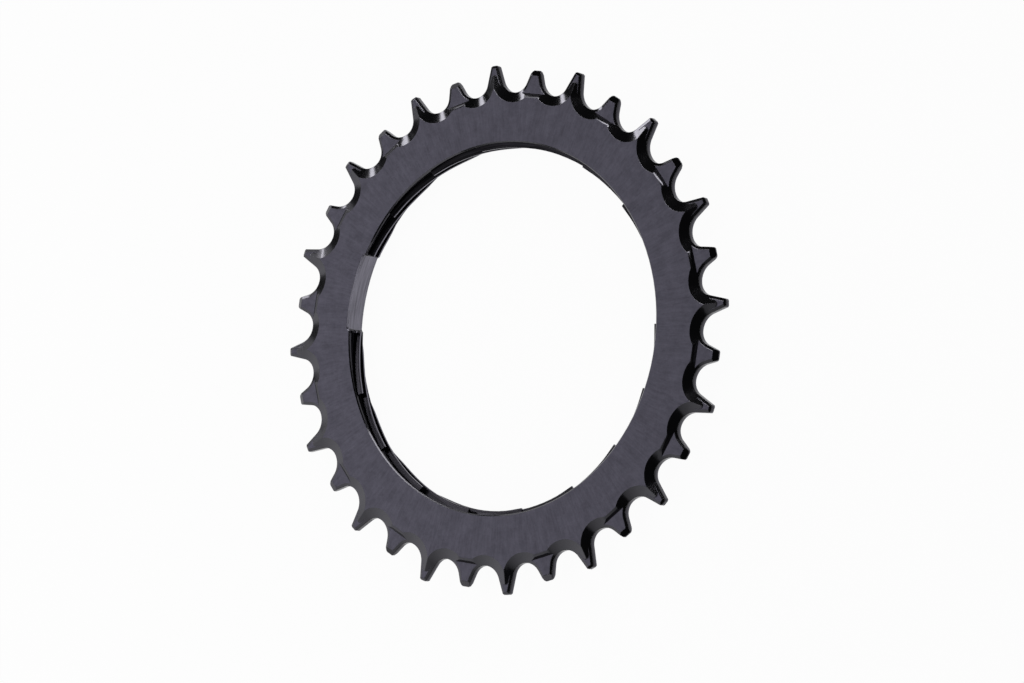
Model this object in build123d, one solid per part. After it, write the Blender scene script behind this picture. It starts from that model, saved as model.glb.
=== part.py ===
from build123d import *
import os
from math import acos, atan2, ceil, cos, pi, radians, sin

# Narrow-wide bicycle chainring, machined in one piece, with a multi-start threaded bore.
# Millimetres. The ring lies on its back: z = 0 is the back face of the hub and +Z is the
# ring axis, out of the front face. Angles run clockwise from +Y, seen from the front.

# Chain and teeth
tooth_pairs = 16
chain_pitch = 12.7
roller_radius = 3.875
roller_clearance = 0.055

# Tooth outline: two seat arcs of different radius meet at the lowest point of each valley
drive_seat_radius = 4.8
release_seat_radius = 3.7
seat_offset = 0.4
wide_tip_height = 3.55
wide_tip_half_width = 0.95
narrow_tip_height = 1.97
narrow_tip_half_width = 1.2
tip_corner_cut = 0.3
first_wide_tooth_angle = -5.275

# Thickness of the toothed rim, from its thickest to its thinnest place
wide_thickness = 3.1
narrow_thickness = 1.96
seat_thickness = 1.5
wide_tip_thickness = 1.2
narrow_tip_thickness = 0.35

# Relief of the faces round the valleys and on the two kinds of tooth
bevel_width = 2.65
bevel_section_angle = 20.0
step_foot_depth = 0.18
step_wall_width = 0.57
step_lip_width = 0.6
step_lip_drop = 0.15
narrow_bevel_length = 1.45
wide_bevel_length = 0.7
ledge_base_height = 0.3
spur_height = 4.9
spur_neck_height = 5.55
spur_neck_half_width = 0.85
spur_side_radius = 6.75
spur_nose_chamfer = 0.45

# Hub and bore
hub_thickness = 6.25
hub_wall = 4.5
hub_slope_width = 3.0
hub_edge_chamfer = 0.4
bore_radius = 48.0
bore_chamfer = 0.3

# Thread: coarse ridges with blunt starts, in an undercut between two plain lands of the bore.
# Each ridge fades out towards the back. One start, counted from the first ridge, is left blank
thread_starts = 18
thread_lead = 34.5
thread_undercut = 0.55
thread_depth = 1.74
ridge_crest_width = 0.45
ridge_root_width = 1.5
front_land = 0.8
back_land = 1.2
first_ridge_angle = 8.7
blank_start = 3
runout_angle = 18.5
ridge_section_angle = 6.0

# Key slot across the thread
slot_depth = 0.7
slot_arc = 24.6
slot_centre_angle = -78.4
slot_corner_radius = 1.0
slot_chamfer = 0.38

# Worked out from the sizes above
tooth_angle = 180 / tooth_pairs
half_tooth = tooth_angle / 2
pitch_radius = chain_pitch / 2 / sin(pi / (2 * tooth_pairs))
root_radius = pitch_radius - roller_radius - roller_clearance
wide_tip_radius = pitch_radius + wide_tip_height
narrow_tip_radius = pitch_radius + narrow_tip_height
wide_half = wide_thickness / 2
narrow_half = narrow_thickness / 2
seat_half = seat_thickness / 2
bevel_slope = bevel_width / (wide_half - seat_half)
tooth_plane = hub_thickness - wide_half
thread_root_radius = bore_radius + thread_undercut
thread_top = hub_thickness - front_land
rim_back = hub_thickness - wide_thickness

# Room that cutting shapes need past the faces they cut, and depth of the ridges' roots in the hub
overshoot = 0.5
embed = 0.5
cut_half_width = chain_pitch / 2 - seat_offset
rim_margin = 1.0
rim_radius = root_radius - bevel_width - rim_margin
reach = wide_tip_radius + overshoot


def at_angle(x, y, angle):
    """Point x along the tangent and y out from the axis, turned clockwise by angle."""
    a = radians(angle)
    return Vector(x * cos(a) + y * sin(a), y * cos(a) - x * sin(a))


def turned(shape, angle):
    return shape.rotate(Axis.Z, -angle)


def arc_about(centre, start, end):
    """Arc about centre from start to end, the short way round."""
    middle = (start - centre) + (end - centre)
    return ThreePointArc(start, centre + middle.normalized() * (start - centre).length, end)


def flank(angle, tip_radius, half_width, side):
    """Seat centre, foot and tip corner of a tooth's flank, before (-1) or after (1) its middle."""
    radius = drive_seat_radius if side > 0 else release_seat_radius
    centre = at_angle(seat_offset, root_radius + radius, angle + side * half_tooth)
    tip = at_angle(side * half_width, tip_radius, angle)
    line = tip - centre
    heading = atan2(line.Y, line.X) + side * acos(radius / line.length)
    foot = centre + Vector(radius * cos(heading), radius * sin(heading))
    return centre, foot, tip


def cut_corner(corner, before, after):
    """The two points that a corner becomes when it is cut off."""
    return [corner + (end - corner).normalized() * tip_corner_cut for end in (before, after)]


def tooth_outline(angle, tip_radius, half_width):
    """Edges of one tooth, from the valley before it to the valley after it."""
    release_centre, foot_left, tip_left = flank(angle, tip_radius, half_width, -1)
    drive_centre, foot_right, tip_right = flank(angle, tip_radius, half_width, 1)
    top = cut_corner(tip_left, foot_left, tip_right) + cut_corner(tip_right, tip_left, foot_right)
    return [
        arc_about(release_centre, at_angle(seat_offset, root_radius, angle - half_tooth), foot_left),
        Polyline(foot_left, *top, foot_right),
        arc_about(drive_centre, foot_right, at_angle(seat_offset, root_radius, angle + half_tooth)),
    ]


def bevel_section(centre, radius, heading):
    """Section of the bevel beside a seat, rising from the seat's edge to above the face."""
    high = wide_half + overshoot
    points = [
        (-overshoot, seat_half - overshoot / bevel_slope),
        (bevel_slope * (high - seat_half), high),
        (-overshoot, high),
    ]
    corners = []
    for inset, height in points:
        out = radius + inset
        corners.append(Vector(centre.X + out * cos(heading), centre.Y + out * sin(heading), height))
    return Wire.make_polygon(corners)


def bevel_cuts(angle, tip_radius, half_width, side):
    """Bevel of the face round half a valley, and on along the flank that follows it."""
    centre, foot, tip = flank(angle, tip_radius, half_width, side)
    radius = (foot - centre).length
    lowest = at_angle(seat_offset, root_radius, angle + side * half_tooth) - centre
    start = atan2(lowest.Y, lowest.X)
    sweep = -side * lowest.get_angle(foot - centre)
    steps = ceil(abs(sweep) / bevel_section_angle)
    wires = [bevel_section(centre, radius, start + radians(sweep * i / steps)) for i in range(steps + 1)]
    curved = Part(Solid.make_loft(wires).wrapped)
    along = tip - foot
    straight = extrude(Face(wires[-1]), along.length + overshoot, dir=along.normalized())
    return [curved, straight]


def across_tooth(points, angle):
    """Cut with a radial section of the given (radius, height) points, straight across a tooth."""
    section = make_face(Plane.YZ * Polyline(*points, close=True))
    return turned(extrude(section, cut_half_width, both=True), angle)


def tip_bevel(tip_radius, tip_thickness, length):
    """Start and far end of the bevel that thins a tooth from its flat to its tip."""
    start = tip_radius - length
    drop = (narrow_half - tip_thickness / 2) / length
    return (start, narrow_half), (reach, narrow_half - drop * (reach - start))


def narrow_cut(angle):
    """Step, flat and tip bevel on the front of a narrow tooth."""
    foot = root_radius - step_foot_depth
    lip = foot - step_wall_width
    edge = lip - step_lip_width
    points = [
        (edge, wide_half + overshoot),
        (edge, wide_half),
        (lip, wide_half - step_lip_drop),
        (foot, narrow_half),
        *tip_bevel(narrow_tip_radius, narrow_tip_thickness, narrow_bevel_length),
        (reach, wide_half + overshoot),
    ]
    return across_tooth(points, angle)


def wide_tip_cut(angle):
    """Tip bevel on the front of a wide tooth."""
    bevel = tip_bevel(wide_tip_radius, wide_tip_thickness, wide_bevel_length)
    points = [*bevel, (reach, wide_half + overshoot), (bevel[0][0], wide_half + overshoot)]
    return across_tooth(points, angle)


def ledge_cut(angle):
    """Lowers a wide tooth to the level of the narrow ones, all but a waisted spur up its middle."""
    base = root_radius + ledge_base_height
    spur = Rectangle(2 * cut_half_width, root_radius + spur_height - base, align=(Align.CENTER, Align.MIN))
    spur = spur.translate((0, base, 0))
    waist = Circle(spur_side_radius)
    offset = spur_neck_half_width + spur_side_radius
    for x in (-offset, offset):
        spur -= waist.translate((x, root_radius + spur_neck_height, 0))
    spur = chamfer(spur.vertices().sort_by(Axis.Y)[-2:], spur_nose_chamfer)
    ledge = Rectangle(2 * cut_half_width, reach - base, align=(Align.CENTER, Align.MIN))
    ledge = ledge.translate((0, base, 0)) - spur
    block = extrude(ledge, wide_half + overshoot - narrow_half)
    return turned(block.translate((0, 0, narrow_half)), angle)


def tooth_pair():
    """A wide and a narrow tooth with their share of the rim, mid-plane at z = 0."""
    last = tooth_angle + half_tooth
    rim_height = (rim_radius**2 - seat_offset**2) ** 0.5
    inner_start = at_angle(seat_offset, rim_height, -half_tooth)
    inner_end = at_angle(seat_offset, rim_height, last)
    outline = [
        *tooth_outline(0, wide_tip_radius, wide_tip_half_width),
        *tooth_outline(tooth_angle, narrow_tip_radius, narrow_tip_half_width),
        Line(at_angle(seat_offset, root_radius, last), inner_end),
        arc_about(Vector(0, 0), inner_end, inner_start),
        Line(inner_start, at_angle(seat_offset, root_radius, -half_tooth)),
    ]
    cuts = [ledge_cut(0), wide_tip_cut(0), narrow_cut(tooth_angle)]
    for side in (-1, 1):
        cuts += bevel_cuts(0, wide_tip_radius, wide_tip_half_width, side)
        cuts += bevel_cuts(tooth_angle, narrow_tip_radius, narrow_tip_half_width, side)
    cuts += [mirror(cut, Plane.XY) for cut in cuts]
    return extrude(make_face(outline), wide_half, both=True) - cuts


def hub():
    """Plain ring between the bore and the toothed rim, thicker towards the back."""
    back_radius = bore_radius + hub_wall
    points = [
        (bore_radius + bore_chamfer, 0),
        (back_radius - hub_edge_chamfer, 0),
        (back_radius, hub_edge_chamfer),
        (back_radius + hub_slope_width, rim_back),
        (rim_radius, rim_back),
        (rim_radius, hub_thickness),
        (bore_radius + bore_chamfer, hub_thickness),
        (bore_radius, hub_thickness - bore_chamfer),
        (bore_radius, thread_top),
        (thread_root_radius, thread_top),
        (thread_root_radius, back_land),
        (bore_radius, back_land),
        (bore_radius, bore_chamfer),
    ]
    return revolve(make_face(Plane.XZ * Polyline(*points, close=True)), Axis.Z)


def ridge_section(angle, top, depth):
    """Radial section of a thread ridge whose front root edge is at height top."""
    flank = (ridge_root_width - ridge_crest_width) / 2 / thread_depth
    middle = top - ridge_root_width / 2
    root_half = ridge_root_width / 2 + flank * embed
    crest_half = ridge_crest_width / 2
    root = at_angle(0, thread_root_radius + embed, angle)
    crest = at_angle(0, thread_root_radius - depth, angle)
    corners = [
        Vector(root.X, root.Y, middle + root_half),
        Vector(crest.X, crest.Y, middle + crest_half),
        Vector(crest.X, crest.Y, middle - crest_half),
        Vector(root.X, root.Y, middle - root_half),
    ]
    return Wire.make_polygon(corners)


def thread_ridge():
    """One ridge, from its blunt start behind the front land to its run-out at the back land."""
    sweep = 360 * (thread_top - back_land + embed) / thread_lead
    steps = ceil(sweep / ridge_section_angle)
    wires = []
    for i in range(steps + 1):
        angle = sweep * i / steps
        depth = thread_depth * min(1, (sweep - angle) / runout_angle)
        wires.append(ridge_section(angle, thread_top - thread_lead * angle / 360, depth))
    ridge = Part(Solid.make_loft(wires).wrapped)
    radius = thread_root_radius + 2 * embed
    below = Cylinder(radius, hub_thickness, align=(Align.CENTER, Align.CENTER, Align.MAX))
    return ridge - below.translate((0, 0, back_land))


def key_slot():
    """Slot through the thread, with milled corners and a chamfered front edge."""
    inner = thread_root_radius - thread_depth - overshoot
    outer = bore_radius + slot_depth
    ends = (slot_centre_angle - slot_arc / 2, slot_centre_angle + slot_arc / 2)
    corners = [at_angle(0, outer, ends[0]), at_angle(0, outer, ends[1]),
               at_angle(0, inner, ends[1]), at_angle(0, inner, ends[0])]
    outline = make_face([
        arc_about(Vector(0, 0), corners[0], corners[1]),
        Line(corners[1], corners[2]),
        arc_about(Vector(0, 0), corners[2], corners[3]),
        Line(corners[3], corners[0]),
    ])
    far = outline.vertices().sort_by_distance((0, 0, 0))[-2:]
    outline = fillet(far, slot_corner_radius)
    through = extrude(outline, hub_thickness)
    flare = extrude(outline, slot_chamfer, taper=-45)
    return [through, flare.translate((0, 0, hub_thickness - slot_chamfer))]


pair = tooth_pair().translate((0, 0, tooth_plane))
rim = [turned(pair, first_wide_tooth_angle + 2 * tooth_angle * i) for i in range(tooth_pairs)]
ridge = thread_ridge()
starts = [i for i in range(thread_starts) if i != blank_start]
ridges = [turned(ridge, first_ridge_angle + 360 / thread_starts * i) for i in starts]
chainring = hub() + rim
chainring = chainring + ridges
chainring = chainring - key_slot()

os.makedirs("parts", exist_ok=True)
export_step(chainring, "parts/chainring.step")
print("chainring: volume %.0f mm3, solids %d" % (chainring.volume, len(chainring.solids())))
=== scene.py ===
import math

import bmesh
import bpy
import numpy as np
from mathutils import Matrix, Vector


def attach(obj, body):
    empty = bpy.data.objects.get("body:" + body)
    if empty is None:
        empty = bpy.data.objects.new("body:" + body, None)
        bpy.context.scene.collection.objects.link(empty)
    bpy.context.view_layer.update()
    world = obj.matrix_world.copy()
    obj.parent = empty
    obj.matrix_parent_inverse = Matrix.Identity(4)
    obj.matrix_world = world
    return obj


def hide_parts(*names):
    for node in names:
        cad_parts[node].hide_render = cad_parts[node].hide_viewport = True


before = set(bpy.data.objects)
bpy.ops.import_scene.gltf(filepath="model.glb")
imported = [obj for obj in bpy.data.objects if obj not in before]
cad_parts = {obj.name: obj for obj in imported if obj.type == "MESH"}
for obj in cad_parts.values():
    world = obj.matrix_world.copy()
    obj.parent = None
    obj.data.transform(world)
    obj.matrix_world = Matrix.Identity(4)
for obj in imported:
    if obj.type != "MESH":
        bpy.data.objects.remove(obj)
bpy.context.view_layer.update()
print("frame loaded:", sorted(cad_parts))

scene = bpy.context.scene
scene.view_settings.view_transform = "Standard"


# Node helpers

rangeLabels = ("From Min", "From Max", "To Min", "To Max")


def startMaterial(name):
    material = bpy.data.materials.new(name)
    material.use_nodes = True
    material.node_tree.nodes.clear()
    return material, material.node_tree


def addNode(tree, kind, **settings):
    node = tree.nodes.new(kind)
    for key, value in settings.items():
        setattr(node, key, value)
    return node


def wire(tree, source, target):
    tree.links.new(source, target)


def mathNode(tree, operation, first, second=None):
    node = addNode(tree, "ShaderNodeMath", operation=operation)
    for socket, value in zip(node.inputs, (first, second)):
        if value is None:
            continue
        if isinstance(value, (int, float)):
            socket.default_value = value
        else:
            wire(tree, value, socket)
    return node.outputs[0]


def startGroup(name, inputs, outputs):
    tree = bpy.data.node_groups.new(name, "ShaderNodeTree")
    for label, kind in inputs:
        tree.interface.new_socket(label, in_out="INPUT", socket_type=kind)
    for label, kind in outputs:
        tree.interface.new_socket(label, in_out="OUTPUT", socket_type=kind)
    return tree, addNode(tree, "NodeGroupInput"), addNode(tree, "NodeGroupOutput")


# Shared effects

grainNoise = {"Scale": 1.0, "Detail": 4.0, "Roughness": 0.6}
mottleNoise = {"Detail": 5.0, "Roughness": 0.85}
cloudScale = 280.0  # clouds per metre


def makeCutterGrain():
    # tool marks: noise on (cos, sin) of the angle, on the radius and on the height,
    # each with its own fineness
    tree, given, result = startGroup(
        "cutterGrain",
        [
            ("Vector", "NodeSocketVector"),
            ("Around", "NodeSocketFloat"),
            ("Along", "NodeSocketFloat"),
            ("Deep", "NodeSocketFloat"),
        ],
        [("Grain", "NodeSocketFloat")],
    )
    split = addNode(tree, "ShaderNodeSeparateXYZ")
    wire(tree, given.outputs["Vector"], split.inputs[0])
    xx = mathNode(tree, "MULTIPLY", split.outputs[0], split.outputs[0])
    yy = mathNode(tree, "MULTIPLY", split.outputs[1], split.outputs[1])
    radius = mathNode(tree, "SQRT", mathNode(tree, "ADD", xx, yy))
    joined = addNode(tree, "ShaderNodeCombineXYZ")
    for i in range(2):
        share = mathNode(tree, "DIVIDE", split.outputs[i], radius)
        wire(tree, mathNode(tree, "MULTIPLY", share, given.outputs["Around"]), joined.inputs[i])
    outward = mathNode(tree, "MULTIPLY", radius, given.outputs["Along"])
    upward = mathNode(tree, "MULTIPLY", split.outputs[2], given.outputs["Deep"])
    wire(tree, mathNode(tree, "ADD", outward, upward), joined.inputs[2])
    noise = addNode(tree, "ShaderNodeTexNoise")
    for label, value in grainNoise.items():
        noise.inputs[label].default_value = value
    wire(tree, joined.outputs[0], noise.inputs["Vector"])
    wire(tree, noise.outputs["Fac"], result.inputs["Grain"])
    return tree


def makeDyeMottle():
    # the dye takes unevenly: clouds a few millimetres wide with ever finer ones in them,
    # 1 + depth x (noise - 0.5)
    tree, given, result = startGroup(
        "dyeMottle",
        [("Vector", "NodeSocketVector"), ("Cloud Scale", "NodeSocketFloat"), ("Depth", "NodeSocketFloat")],
        [("Tone", "NodeSocketFloat")],
    )
    clouds = addNode(tree, "ShaderNodeTexNoise")
    for label, value in mottleNoise.items():
        clouds.inputs[label].default_value = value
    wire(tree, given.outputs["Vector"], clouds.inputs["Vector"])
    wire(tree, given.outputs["Cloud Scale"], clouds.inputs["Scale"])
    centred = mathNode(tree, "SUBTRACT", clouds.outputs["Fac"], 0.5)
    tone = mathNode(tree, "ADD", mathNode(tree, "MULTIPLY", centred, given.outputs["Depth"]), 1.0)
    wire(tree, tone, result.inputs["Tone"])
    return tree


# sharp edges are broken by a tenth of a millimetre on the hub and by more on the teeth
brokenEdge = {"hub": 0.00010, "teeth": 0.00028, "hubEnd": 0.0600, "teethStart": 0.0612, "samples": 6}


def makeEdgeBreak():
    # normals rounded over the edges, with a radius that grows with the distance from the axis
    tree, given, result = startGroup(
        "edgeBreak",
        [
            ("Vector", "NodeSocketVector"),
            ("Hub Radius", "NodeSocketFloat"),
            ("Teeth Radius", "NodeSocketFloat"),
        ],
        [("Normal", "NodeSocketVector")],
    )
    flat = addNode(tree, "ShaderNodeVectorMath", operation="MULTIPLY")
    flat.inputs[1].default_value = (1.0, 1.0, 0.0)
    wire(tree, given.outputs["Vector"], flat.inputs[0])
    distance = addNode(tree, "ShaderNodeVectorMath", operation="LENGTH")
    wire(tree, flat.outputs[0], distance.inputs[0])
    reach = addNode(tree, "ShaderNodeMapRange")
    reach.inputs["From Min"].default_value = brokenEdge["hubEnd"]
    reach.inputs["From Max"].default_value = brokenEdge["teethStart"]
    wire(tree, distance.outputs["Value"], reach.inputs["Value"])
    wire(tree, given.outputs["Hub Radius"], reach.inputs["To Min"])
    wire(tree, given.outputs["Teeth Radius"], reach.inputs["To Max"])
    rounded = addNode(tree, "ShaderNodeBevel", samples=brokenEdge["samples"])
    wire(tree, reach.outputs["Result"], rounded.inputs["Radius"])
    wire(tree, rounded.outputs["Normal"], result.inputs["Normal"])
    return tree


cutterGrain = makeCutterGrain()
dyeMottle = makeDyeMottle()
edgeBreak = makeEdgeBreak()
print("shared effects ready")


# Finishes of the anodised aluminium, one for each way the metal was cut; the thread, flank, step and seat
# wall finishes also carry painted shade, and the flank lines painted highlights

finishes = {
    "facedAnodise": {  # flat faces, milled and then dyed: broad sheen with faint marks across the rim
        "colour": (0.0800, 0.0764, 0.0995),
        "metallic": 1.0,
        "roughness": 0.36,
        "roughnessSpread": 0.14,
        "around": 80.0,
        "along": 200.0,
        "deep": 0.0,
        "grainTone": 0.70,
        "mottleTone": 1.00,
        "bump": 0.06,
        "bumpDistance": 0.00002,
    },
    "bevelAnodise": {  # bevels and the bore's front chamfer, left bright by the form cutter
        "colour": (0.0760, 0.0745, 0.0835),
        "metallic": 1.0,
        "roughness": 0.11,
        "roughnessSpread": 0.04,
        "around": 420.0,
        "along": 900.0,
        "deep": 0.0,
        "grainTone": 0.16,
        "mottleTone": 0.10,
        "bump": 0.02,
        "bumpDistance": 0.00001,
    },
    "wallAnodise": {  # seat walls and flanks, side milled; the colour is set darker than the faces as painted shade
        "colour": (0.0620, 0.0600, 0.0720),
        "metallic": 1.0,
        "roughness": 0.22,
        "roughnessSpread": 0.08,
        "around": 500.0,
        "along": 0.0,
        "deep": 300.0,
        "grainTone": 0.30,
        "mottleTone": 0.12,
        "bump": 0.02,
        "bumpDistance": 0.00001,
        "paintedShadeRamp": (1.4, 0.2),  # painted reflection and shade on the seats: lighter towards the back edge, darker towards the front edge
    },
    "threadPaintedShade": {  # bore wall and the ends of the ridges, thread milled; the very dark colour is painted shade
        "colour": (0.0300, 0.0285, 0.0350),
        "metallic": 1.0,
        "roughness": 0.20,
        "roughnessSpread": 0.06,
        "around": 30.0,
        "along": 600.0,
        "deep": 1500.0,
        "grainTone": 0.40,
        "mottleTone": 0.10,
        "bump": 0.02,
        "bumpDistance": 0.00001,
    },
    "slotAnodise": {  # the key slot and the ridges' crests, cut along their length: paler, with long streaks
        "colour": (0.1400, 0.1350, 0.1640),
        "metallic": 1.0,
        "roughness": 0.30,
        "roughnessSpread": 0.16,
        "around": 6.0,
        "along": 0.0,
        "deep": 1700.0,
        "grainTone": 1.70,
        "mottleTone": 0.12,
        "bump": 0.03,
        "bumpDistance": 0.00001,
    },
    "stepPaintedShade": {  # the steep step behind each narrow tooth: its near-black colour is painted shade
        "colour": (0.0180, 0.0172, 0.0215),
        "metallic": 1.0,
        "roughness": 0.28,
        "roughnessSpread": 0.06,
        "around": 300.0,
        "along": 300.0,
        "deep": 0.0,
        "grainTone": 0.20,
        "mottleTone": 0.10,
        "bump": 0.02,
        "bumpDistance": 0.00001,
    },
    "flankShadeAndHighlightLines": {  # flanks of the thread's ridges: the dark colour is painted shade, and the strong lines along them are partly grain and partly painted highlights of the ridge edges
        "colour": (0.0260, 0.0248, 0.0300),
        "metallic": 1.0,
        "roughness": 0.24,
        "roughnessSpread": 0.10,
        "around": 4.0,
        "along": 2400.0,
        "deep": 0.0,
        "grainTone": 4.00,
        "mottleTone": 0.10,
        "bump": 0.02,
        "bumpDistance": 0.00001,
    },
}

# heights of the back and front edges of the seats, between which the ramp of painted reflection and shade
# runs
seatSpan = (0.00395, 0.00545)


def makeFinish(name, look):
    material, tree = startMaterial(name)
    place = addNode(tree, "ShaderNodeTexCoord").outputs["Object"]
    grain = addNode(tree, "ShaderNodeGroup", node_tree=cutterGrain)
    grain.inputs["Around"].default_value = look["around"]
    grain.inputs["Along"].default_value = look["along"]
    grain.inputs["Deep"].default_value = look["deep"]
    wire(tree, place, grain.inputs["Vector"])
    mottle = addNode(tree, "ShaderNodeGroup", node_tree=dyeMottle)
    mottle.inputs["Cloud Scale"].default_value = cloudScale
    mottle.inputs["Depth"].default_value = look["mottleTone"]
    wire(tree, place, mottle.inputs["Vector"])
    streak = mathNode(tree, "SUBTRACT", grain.outputs["Grain"], 0.5)
    tone = mathNode(tree, "MULTIPLY", streak, look["grainTone"])
    tone = mathNode(tree, "ADD", tone, mottle.outputs["Tone"])
    # painted reflection and shade: the tone is scaled by height between the seats' back and front edges
    if "paintedShadeRamp" in look:
        split = addNode(tree, "ShaderNodeSeparateXYZ")
        wire(tree, place, split.inputs[0])
        fade = addNode(tree, "ShaderNodeMapRange")
        for label, number in zip(rangeLabels, (*seatSpan, *look["paintedShadeRamp"])):
            fade.inputs[label].default_value = number
        wire(tree, split.outputs[2], fade.inputs["Value"])
        tone = mathNode(tree, "MULTIPLY", tone, fade.outputs["Result"])
    colour = addNode(tree, "ShaderNodeVectorMath", operation="SCALE")
    colour.inputs[0].default_value = look["colour"]
    wire(tree, tone, colour.inputs["Scale"])
    rough = mathNode(tree, "MULTIPLY", streak, look["roughnessSpread"])
    rough = mathNode(tree, "ADD", rough, look["roughness"])
    edge = addNode(tree, "ShaderNodeGroup", node_tree=edgeBreak)
    edge.inputs["Hub Radius"].default_value = brokenEdge["hub"]
    edge.inputs["Teeth Radius"].default_value = brokenEdge["teeth"]
    wire(tree, place, edge.inputs["Vector"])
    bump = addNode(tree, "ShaderNodeBump")
    bump.inputs["Strength"].default_value = look["bump"]
    bump.inputs["Distance"].default_value = look["bumpDistance"]
    wire(tree, grain.outputs["Grain"], bump.inputs["Height"])
    wire(tree, edge.outputs["Normal"], bump.inputs["Normal"])
    metal = addNode(tree, "ShaderNodeBsdfPrincipled")
    metal.inputs["Metallic"].default_value = look["metallic"]
    wire(tree, colour.outputs[0], metal.inputs["Base Color"])
    wire(tree, rough, metal.inputs["Roughness"])
    wire(tree, bump.outputs["Normal"], metal.inputs["Normal"])
    wire(tree, metal.outputs[0], addNode(tree, "ShaderNodeOutputMaterial").inputs["Surface"])
    return material


# The ring itself: the solid's own surface, joined up, with its finishes laid out face by face

ring = {
    "mergeDistance": 0.000001,
    "sharpAngle": math.radians(15.5),  # facets of a curve meet at less than this, real edges at more
    "boreRadius": 0.0493,  # everything inside is bore
    "wallNormal": 0.30,  # faces steeper than this are walls
    "flatNormal": 0.9995,  # faces flatter than this are faced
    "slotMiddle": math.radians(-78.4),  # clockwise from +Y
    "slotHalf": math.radians(13.0),
    "slotInner": 0.04858,  # the slot's wall and chamfer are outside this radius
    "flankNormal": (0.85, 0.995),  # flanks of the thread's ridges, inside boreRadius
    "crestRadius": 0.0477,  # crests of the ridges are inside this radius and as steep as walls
    "chamferNormal": (0.60, 0.80),  # the bore's front chamfer, above chamferHeight
    "chamferHeight": 0.0060,
    "stepNormal": (0.76, 0.85),  # the steps, outside stepInner
    "stepInner": 0.0580,
}


def makeRing():
    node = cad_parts["chainring"]
    mesh = node.data.copy()
    mesh.name = "chainringSkin"
    mesh.materials.clear()
    work = bmesh.new()
    work.from_mesh(mesh)
    bmesh.ops.remove_doubles(work, verts=work.verts, dist=ring["mergeDistance"])
    for edge in work.edges:
        edge.smooth = edge.calc_face_angle(math.pi) < ring["sharpAngle"]
    work.to_mesh(mesh)
    work.free()
    mesh.attributes.active_color_index = -1
    if "custom_normal" in mesh.attributes:
        mesh.attributes.remove(mesh.attributes["custom_normal"])
    mesh.polygons.foreach_set("use_smooth", np.ones(len(mesh.polygons), bool))
    count = len(mesh.polygons)
    normal = np.zeros(count * 3, np.float32)
    centre = np.zeros(count * 3, np.float32)
    mesh.polygons.foreach_get("normal", normal)
    mesh.polygons.foreach_get("center", centre)
    normal = normal.reshape(-1, 3)
    centre = centre.reshape(-1, 3)
    radius = np.hypot(centre[:, 0], centre[:, 1])
    level = np.abs(normal[:, 2])
    kind = {name: i for i, name in enumerate(finishes)}
    finish = np.full(count, kind["bevelAnodise"], np.int32)
    finish[level > ring["flatNormal"]] = kind["facedAnodise"]
    finish[level < ring["wallNormal"]] = kind["wallAnodise"]
    bore = (radius < ring["boreRadius"]) & (level < ring["flatNormal"])
    turn = np.arctan2(centre[:, 0], centre[:, 1]) - ring["slotMiddle"]
    # the bore's thread finish is darkened as painted shade
    finish[bore] = kind["threadPaintedShade"]
    # the ridges' flanks take the finish with painted shade and painted highlight lines
    low, high = ring["flankNormal"]
    finish[bore & (level > low) & (level < high)] = kind["flankShadeAndHighlightLines"]
    finish[bore & (level < ring["wallNormal"]) & (radius < ring["crestRadius"])] = kind["slotAnodise"]
    low, high = ring["chamferNormal"]
    chamfer = (level > low) & (level < high) & (centre[:, 2] > ring["chamferHeight"])
    finish[bore & chamfer] = kind["bevelAnodise"]
    finish[bore & (np.abs(turn) < ring["slotHalf"]) & (radius > ring["slotInner"])] = kind["slotAnodise"]
    # the steps take the near-black finish of painted shade
    low, high = ring["stepNormal"]
    finish[(level > low) & (level < high) & (radius > ring["stepInner"])] = kind["stepPaintedShade"]
    for name, look in finishes.items():
        mesh.materials.append(makeFinish(name, look))
    mesh.polygons.foreach_set("material_index", finish)
    mesh.update()
    piece = bpy.data.objects.new("chainringSkin", mesh)
    scene.collection.objects.link(piece)
    piece.modifiers.new("flatFaces", "WEIGHTED_NORMAL").keep_sharp = True
    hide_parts("chainring")
    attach(piece, "root")
    print("ring made:", count, "faces, finishes", np.bincount(finish).tolist())
    return piece


chainringSkin = makeRing()


# Floor, light and camera

floor = {"half": 4.0, "drop": 0.0001, "colour": (0.92, 0.92, 0.92, 1.0), "glow": 0.96}


def makeFloor():
    # one flat square under the ring; it reads white to the camera and in reflections,
    # and still takes the shadow
    half = floor["half"]
    corner = np.array([(-1, -1), (1, -1), (1, 1), (-1, 1)], float) * half
    points = np.column_stack([corner, np.full(4, -floor["drop"])])
    mesh = bpy.data.meshes.new("paleFloor")
    mesh.from_pydata(points.tolist(), [], [(0, 1, 2, 3)])
    material, tree = startMaterial("palePaper")
    path = addNode(tree, "ShaderNodeLightPath")
    seen = mathNode(tree, "ADD", path.outputs["Is Camera Ray"], path.outputs["Is Glossy Ray"])
    seen = mathNode(tree, "ADD", seen, path.outputs["Is Transmission Ray"])
    share = mathNode(tree, "MULTIPLY", mathNode(tree, "MINIMUM", seen, 1.0), floor["glow"])
    paper = addNode(tree, "ShaderNodeBsdfDiffuse")
    paper.inputs["Color"].default_value = floor["colour"]
    glow = addNode(tree, "ShaderNodeEmission")
    glow.inputs["Strength"].default_value = 1.0
    mix = addNode(tree, "ShaderNodeMixShader")
    wire(tree, share, mix.inputs[0])
    wire(tree, paper.outputs[0], mix.inputs[1])
    wire(tree, glow.outputs[0], mix.inputs[2])
    wire(tree, mix.outputs[0], addNode(tree, "ShaderNodeOutputMaterial").inputs["Surface"])
    mesh.materials.append(material)
    piece = bpy.data.objects.new("paleFloor", mesh)
    scene.collection.objects.link(piece)


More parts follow.
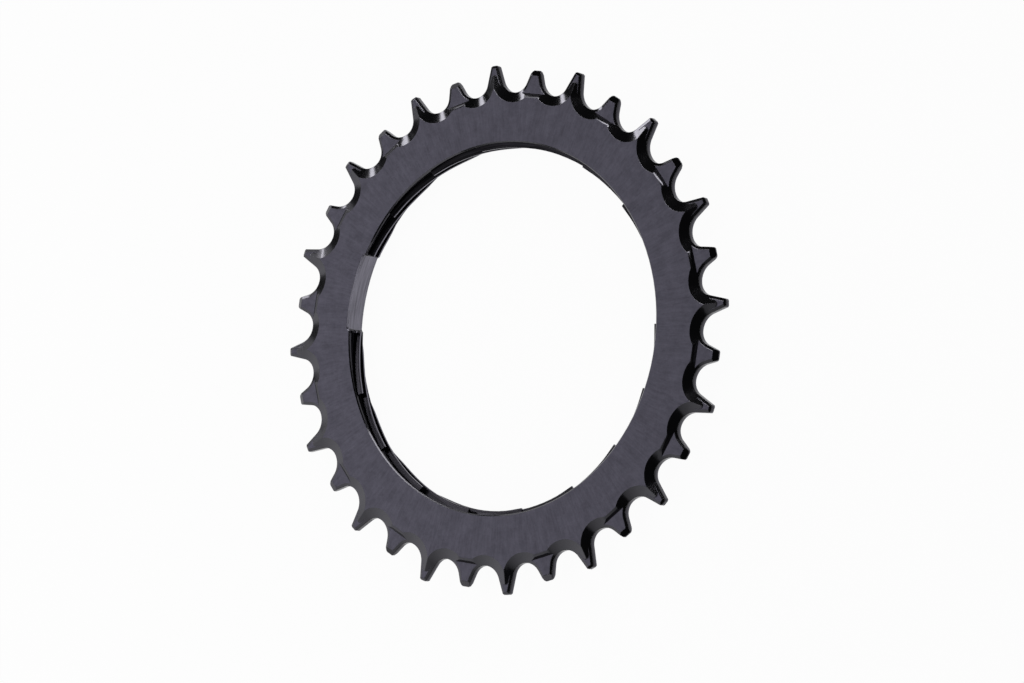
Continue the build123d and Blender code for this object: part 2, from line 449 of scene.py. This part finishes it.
studio = {
    "horizon": 1.0,  # pale walls of the room, low down
    "ceiling": 0.03,  # dark above, which the bevels on the far side show
    "horizonTop": 0.12,  # heights on the unit sphere where the walls end and the ceiling begins
    "ceilingBottom": 0.30,
    # lean is how much brighter a panel gets from its middle to its edges, along width and height
    "panels": {
        "softBox": {
            "place": (-0.194, -0.032, 0.242),
            "up": (0.109, 0.970, 0.215),
            "size": (0.446, 0.354),
            "radiance": 0.60,
            "lean": (-0.79, -0.56),
        },
        "faceLight": {
            "place": (-0.578, 0.076, 0.813),
            "up": (0.0, 1.0, 0.0),
            "size": (0.520, 0.480),
            "radiance": 0.65,
            "lean": (0.8, 0.35),
        },
        "stripTop": {
            "place": (-0.723, 0.875, 2.059),
            "up": (0.435, 0.873, -0.218),
            "size": (0.850, 0.180),
            "radiance": 7.5,
            "lean": (0.0, 0.0),
        },
        "stripMiddle": {
            "place": (-1.318, 1.023, 1.463),
            "up": (0.429, 0.878, -0.211),
            "size": (0.850, 0.180),
            "radiance": 2.2,
            "lean": (0.0, 0.0),
        },
        "stripFoot": {
            "place": (-1.858, 1.157, 0.923),
            "up": (0.429, 0.878, -0.211),
            "size": (0.700, 0.180),
            "radiance": 7.5,
            "lean": (0.0, 0.0),
        },
        "edgeLight": {
            "place": (0.950, -0.255, 0.684),
            "up": (0.0, 0.0, 1.0),
            "size": (0.950, 0.200),
            "radiance": 2.5,
            "lean": (0.0, 0.0),
        },
        "boreLight": {
            "place": (0.094, 1.265, 0.361),
            "up": (-0.481, -0.198, 0.847),
            "size": (1.300, 0.200),
            "radiance": 5.5,
            "lean": (0.0, 0.0),
        },
        "farFill": {
            "place": (1.050, 0.050, 0.420),
            "up": (0.0, 0.0, 1.0),
            "size": (1.100, 0.450),
            "radiance": 0.80,
            "lean": (0.0, 0.0),
        },
        "nearFill": {
            "place": (0.200, -1.050, 0.420),
            "up": (0.0, 0.0, 1.0),
            "size": (1.100, 0.450),
            "radiance": 0.80,
            "lean": (0.0, 0.0),
        },
        "lowLight": {
            "place": (-0.700, -0.780, 0.600),
            "up": (-0.212, 0.703, 0.675),
            "size": (0.900, 0.250),
            "radiance": 0.95,
            "lean": (0.0, 0.0),
        },
    },
}


def makeWorld():
    world = bpy.data.worlds.new("paleRoom")
    world.use_nodes = True
    tree = world.node_tree
    tree.nodes.clear()
    aim = addNode(tree, "ShaderNodeTexCoord").outputs["Generated"]
    split = addNode(tree, "ShaderNodeSeparateXYZ")
    wire(tree, aim, split.inputs[0])
    fade = addNode(tree, "ShaderNodeMapRange", interpolation_type="SMOOTHSTEP")
    for label, key in zip(rangeLabels, ("horizonTop", "ceilingBottom", "horizon", "ceiling")):
        fade.inputs[label].default_value = studio[key]
    wire(tree, split.outputs[2], fade.inputs["Value"])
    sky = addNode(tree, "ShaderNodeBackground")
    wire(tree, fade.outputs["Result"], sky.inputs["Strength"])
    wire(tree, sky.outputs[0], addNode(tree, "ShaderNodeOutputWorld").inputs["Surface"])
    scene.world = world


def makePanel(name, panel):
    # a rectangle that faces the ring; radiance x (1 + lean x place across the panel, from -1 to 1)
    width, height = panel["size"]
    lamp = bpy.data.lights.new(name, "AREA")
    lamp.shape = "RECTANGLE"
    lamp.size = width
    lamp.size_y = height
    lamp.energy = panel["radiance"] * math.pi * width * height
    lamp.use_nodes = True
    tree = lamp.node_tree
    tree.nodes.clear()
    across = addNode(tree, "ShaderNodeSeparateXYZ")
    wire(tree, addNode(tree, "ShaderNodeNewGeometry").outputs["Parametric"], across.inputs[0])
    level = 1.0
    for i in range(2):
        centred = mathNode(tree, "SUBTRACT", mathNode(tree, "MULTIPLY", across.outputs[i], 2.0), 1.0)
        level = mathNode(tree, "ADD", mathNode(tree, "MULTIPLY", centred, panel["lean"][i]), level)
    shine = addNode(tree, "ShaderNodeEmission")
    wire(tree, mathNode(tree, "MAXIMUM", level, 0.0), shine.inputs["Strength"])
    wire(tree, shine.outputs[0], addNode(tree, "ShaderNodeOutputLight").inputs["Surface"])
    piece = bpy.data.objects.new(name, lamp)
    away = Vector(panel["place"]).normalized()
    side = Vector(panel["up"]).cross(away).normalized()
    turn = Matrix((side, away.cross(side), away)).transposed().to_4x4()
    piece.matrix_world = Matrix.Translation(panel["place"]) @ turn
    scene.collection.objects.link(piece)


view = {
    "place": (0.63437, -0.08585, 0.89245),
    "back": (0.57770, -0.07552, 0.81275),
    "up": (0.0, 0.99571, 0.09252),
    "lens": 150.16,
    "sensor": 36.0,
}


def makeCamera():
    data = bpy.data.cameras.new("photoView")
    data.lens = view["lens"]
    data.sensor_width = view["sensor"]
    back = Vector(view["back"]).normalized()
    right = Vector(view["up"]).cross(back).normalized()
    turn = Matrix((right, back.cross(right), back)).transposed().to_4x4()
    piece = bpy.data.objects.new("photoView", data)
    piece.matrix_world = Matrix.Translation(view["place"]) @ turn
    scene.collection.objects.link(piece)
    scene.camera = piece


makeFloor()
makeWorld()
for panelName, panel in studio["panels"].items():
    makePanel(panelName, panel)
makeCamera()
print("floor, light and camera ready")

bpy.context.view_layer.update()
